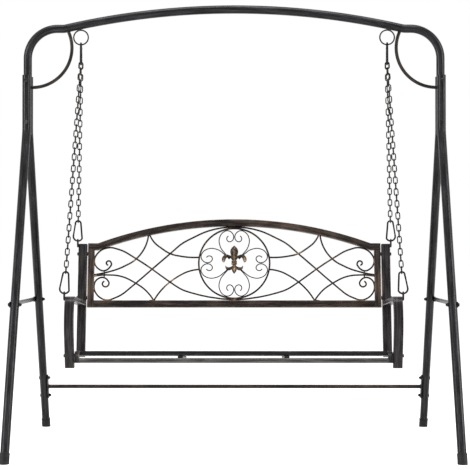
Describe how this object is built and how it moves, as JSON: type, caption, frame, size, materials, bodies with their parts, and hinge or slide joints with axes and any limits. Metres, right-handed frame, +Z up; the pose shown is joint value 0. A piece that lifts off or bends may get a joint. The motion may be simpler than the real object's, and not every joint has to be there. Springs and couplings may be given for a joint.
{
  "type": "garden swing bench",
  "caption": "Garden swing bench: slatted metal seat with a scrolled back, hung on chains and snap hooks from an arched tube A-frame stand.",
  "frame": {"origin": "on the ground, under the middle of the stand", "axes": "+X to the right along the bench, +Y to the rear, +Z up"},
  "size_m": [1.785, 1.2532, 1.8335],
  "materials": {
    "stand_paint": "satin hammered charcoal with brushed highlights",
    "bench_bronze": "satin antique bronze over black, rubbed at the edges",
    "scroll_bronze": "satin antique bronze, copper-rubbed where bars meet",
    "casting_bronze": "satin antique gold over dark bronze",
    "chain_steel": "satin dark bronze paint",
    "fastener_steel": "semi-gloss black",
    "cap_plastic": "matte black"
  },
  "bodies": {
    "stand": {"top_arch_tube": "stand_paint", "corner_tubes": "stand_paint", "corner_braces": "stand_paint", "hanging_rings": "stand_paint", "front_leg_left": "stand_paint", "front_leg_right": "stand_paint", "rear_leg_left": "stand_paint", "rear_leg_right": "stand_paint", "foot_caps": "cap_plastic", "side_spreader_left": "stand_paint", "side_spreader_right": "stand_paint", "rear_crossbar": "stand_paint", "crossbar_straps": "stand_paint", "leg_joint_bolts": "fastener_steel", "leg_joint_nuts": "fastener_steel", "spreader_bolts": "fastener_steel", "spreader_nuts": "fastener_steel", "crossbar_bolts": "fastener_steel", "crossbar_nuts": "fastener_steel"},
    "swing": {"upper_snap_hooks": "chain_steel", "lower_snap_hooks": "chain_steel", "hook_pins": "fastener_steel", "front_chain_left": "chain_steel", "front_chain_right": "chain_steel", "rear_chain_left": "chain_steel", "rear_chain_right": "chain_steel", "hanger_loops": "bench_bronze", "armrest_left": "bench_bronze", "armrest_right": "bench_bronze", "back_post_left": "bench_bronze", "back_post_right": "bench_bronze", "seat_rail_left": "bench_bronze", "seat_rail_right": "bench_bronze", "seat_slats": "bench_bronze", "seat_front_bar": "bench_bronze", "seat_ribs": "bench_bronze", "back_top_rail": "bench_bronze", "back_bottom_rail": "bench_bronze", "back_stile_left": "bench_bronze", "back_stile_right": "bench_bronze", "medallion_ring": "scroll_bronze", "medallion_hearts": "scroll_bronze", "fleur_de_lis": "casting_bronze", "upper_scroll_bars": "scroll_bronze", "lower_scroll_bars": "scroll_bronze", "outer_diamond_bars": "scroll_bronze", "inner_diamond_bars": "scroll_bronze", "bench_bolts": "fastener_steel"},
    "upper_gate_right": {"upper_hook_gate_right": "chain_steel"},
    "upper_gate_left": {"upper_hook_gate_left": "chain_steel"},
    "front_gate_right": {"front_hook_gate_right": "chain_steel"},
    "front_gate_left": {"front_hook_gate_left": "chain_steel"},
    "rear_gate_right": {"rear_hook_gate_right": "chain_steel"},
    "rear_gate_left": {"rear_hook_gate_left": "chain_steel"}
  },
  "joints": [
    {"name": "bench_swing", "type": "hinge", "parent": "stand", "child": "swing", "pos_m": [0, 0, 1.66817], "axis": [1, 0, 0], "range_deg": [-20, 20]},
    {"name": "upper_gate_right_hinge", "type": "hinge", "parent": "swing", "child": "upper_gate_right", "pos_m": [0.641, 0.01302, 1.65473], "axis": [-1, 0, 0], "range_deg": [0, 22], "stiffness_Nm_per_rad": 0.05, "springref_deg": -17.19},
    {"name": "upper_gate_left_hinge", "type": "hinge", "parent": "swing", "child": "upper_gate_left", "pos_m": [-0.641, 0.01302, 1.65473], "axis": [-1, 0, 0], "range_deg": [0, 22], "stiffness_Nm_per_rad": 0.05, "springref_deg": -17.19},
    {"name": "front_gate_right_hinge", "type": "hinge", "parent": "swing", "child": "front_gate_right", "pos_m": [0.68763, -0.2537, 0.70155], "axis": [0, 0.9633, -0.2685], "range_deg": [0, 22], "stiffness_Nm_per_rad": 0.05, "springref_deg": -17.19},
    {"name": "front_gate_left_hinge", "type": "hinge", "parent": "swing", "child": "front_gate_left", "pos_m": [-0.68763, -0.2537, 0.70155], "axis": [0, -0.9633, 0.2685], "range_deg": [0, 22], "stiffness_Nm_per_rad": 0.05, "springref_deg": -17.19},
    {"name": "rear_gate_right_hinge", "type": "hinge", "parent": "swing", "child": "rear_gate_right", "pos_m": [0.68686, 0.19688, 0.9154], "axis": [0, 0.9622, 0.2722], "range_deg": [0, 22], "stiffness_Nm_per_rad": 0.05, "springref_deg": -17.19},
    {"name": "rear_gate_left_hinge", "type": "hinge", "parent": "swing", "child": "rear_gate_left", "pos_m": [-0.68686, 0.19688, 0.9154], "axis": [0, -0.9622, -0.2722], "range_deg": [0, 22], "stiffness_Nm_per_rad": 0.05, "springref_deg": -17.19}
  ]
}
